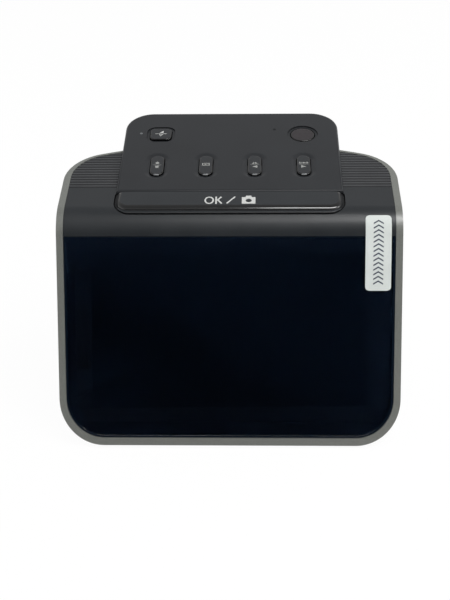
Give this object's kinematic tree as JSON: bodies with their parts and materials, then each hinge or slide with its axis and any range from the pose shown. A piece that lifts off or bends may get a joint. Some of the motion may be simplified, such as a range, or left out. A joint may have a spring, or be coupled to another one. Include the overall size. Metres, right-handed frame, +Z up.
{
  "type": "film negative scanner",
  "caption": "Desktop film scanner with a leaning dark screen, ribbed top with a control head of press keys, and a through tunnel for film carriers.",
  "frame": {"origin": "centre of the bounding box in plan, level with the undersides of the feet", "axes": "+X to the right of someone facing the screen, +Y towards the rear, +Z up; the screen faces -Y"},
  "size_m": [0.1386, 0.1142, 0.1059],
  "materials": {
    "shell_grey": "satin mid grey",
    "cover_charcoal": "fine satin, charcoal",
    "key_charcoal": "satin with a soft sheen",
    "power_key": "fine matt texture",
    "window_black": "polished, near black",
    "display": "dark glass face",
    "clear_film": "clear thin film",
    "white_label": "smooth white film",
    "inner_black": "matt black",
    "plunger_brown": "smooth",
    "steel": "bright",
    "board_green": "solder mask",
    "chip_black": "matt moulded",
    "cream_plastic": "moulded",
    "pale_pipe": "clear, frosted tip",
    "lens_glass": "coated glass",
    "diffuser_white": "opal white",
    "flex_amber": "polyimide film",
    "rubber": "matt"
  },
  "bodies": {
    "housing": {"outer_shell": "shell_grey", "screen_frame": "inner_black", "lcd_panel": "display", "window_adhesive": "inner_black", "screen_window": "window_black", "protective_film": "clear_film", "peel_tab": "white_label", "frame_screws": "steel", "top_cover": "cover_charcoal", "control_head": "cover_charcoal", "head_screws": "steel", "key_board": "board_green", "key_switches": "inner_black", "key_board_screws": "steel", "power_light_pipe": "pale_pipe", "status_light_pipe": "inner_black", "indicator_leds": "cream_plastic", "main_board": "board_green", "main_board_screws": "steel", "board_chips": "chip_black", "board_sockets": "cream_plastic", "card_socket": "steel", "usb_inlet": "steel", "hdmi_socket": "steel", "film_stage_lower": "inner_black", "film_stage_upper": "inner_black", "stage_screws": "steel", "lens_tower": "inner_black", "lens_barrel": "inner_black", "lens_elements": "lens_glass", "sensor_board": "board_green", "sensor_screws": "steel", "image_sensor": "chip_black", "diffuser": "diffuser_white", "light_box": "diffuser_white", "led_board": "diffuser_white", "backlight_leds": "cream_plastic", "lcd_flex": "flex_amber", "sensor_flex": "flex_amber", "key_flex": "flex_amber", "led_flex": "flex_amber", "rubber_feet": "rubber", "base_screws": "steel"},
    "ok_bar": {"ok_bar": "key_charcoal", "ok_plungers": "plunger_brown"},
    "square_key": {"square_button": "key_charcoal", "square_plunger": "plunger_brown"},
    "power_key": {"power_button": "power_key", "power_plunger": "plunger_brown"},
    "pill_key_1": {"pill_button_1": "key_charcoal", "pill_plunger_1": "plunger_brown"},
    "pill_key_2": {"pill_button_2": "key_charcoal", "pill_plunger_2": "plunger_brown"},
    "pill_key_3": {"pill_button_3": "key_charcoal", "pill_plunger_3": "plunger_brown"},
    "pill_key_4": {"pill_button_4": "key_charcoal", "pill_plunger_4": "plunger_brown"}
  },
  "joints": [
    {"name": "ok_bar_press", "type": "slide", "parent": "housing", "child": "ok_bar", "axis": [0, 0.2079, -0.9781], "range_m": [0, 0.0006], "stiffness_N_per_m": 3000},
    {"name": "square_key_press", "type": "slide", "parent": "housing", "child": "square_key", "axis": [0, 0.2079, -0.9781], "range_m": [0, 0.0006], "stiffness_N_per_m": 1500},
    {"name": "power_key_press", "type": "slide", "parent": "housing", "child": "power_key", "axis": [0, 0.2079, -0.9781], "range_m": [0, 0.0006], "stiffness_N_per_m": 1500},
    {"name": "pill_key_1_press", "type": "slide", "parent": "housing", "child": "pill_key_1", "axis": [0, 0.2079, -0.9781], "range_m": [0, 0.0006], "stiffness_N_per_m": 1500},
    {"name": "pill_key_2_press", "type": "slide", "parent": "housing", "child": "pill_key_2", "axis": [0, 0.2079, -0.9781], "range_m": [0, 0.0006], "stiffness_N_per_m": 1500},
    {"name": "pill_key_3_press", "type": "slide", "parent": "housing", "child": "pill_key_3", "axis": [0, 0.2079, -0.9781], "range_m": [0, 0.0006], "stiffness_N_per_m": 1500},
    {"name": "pill_key_4_press", "type": "slide", "parent": "housing", "child": "pill_key_4", "axis": [0, 0.2079, -0.9781], "range_m": [0, 0.0006], "stiffness_N_per_m": 1500}
  ]
}
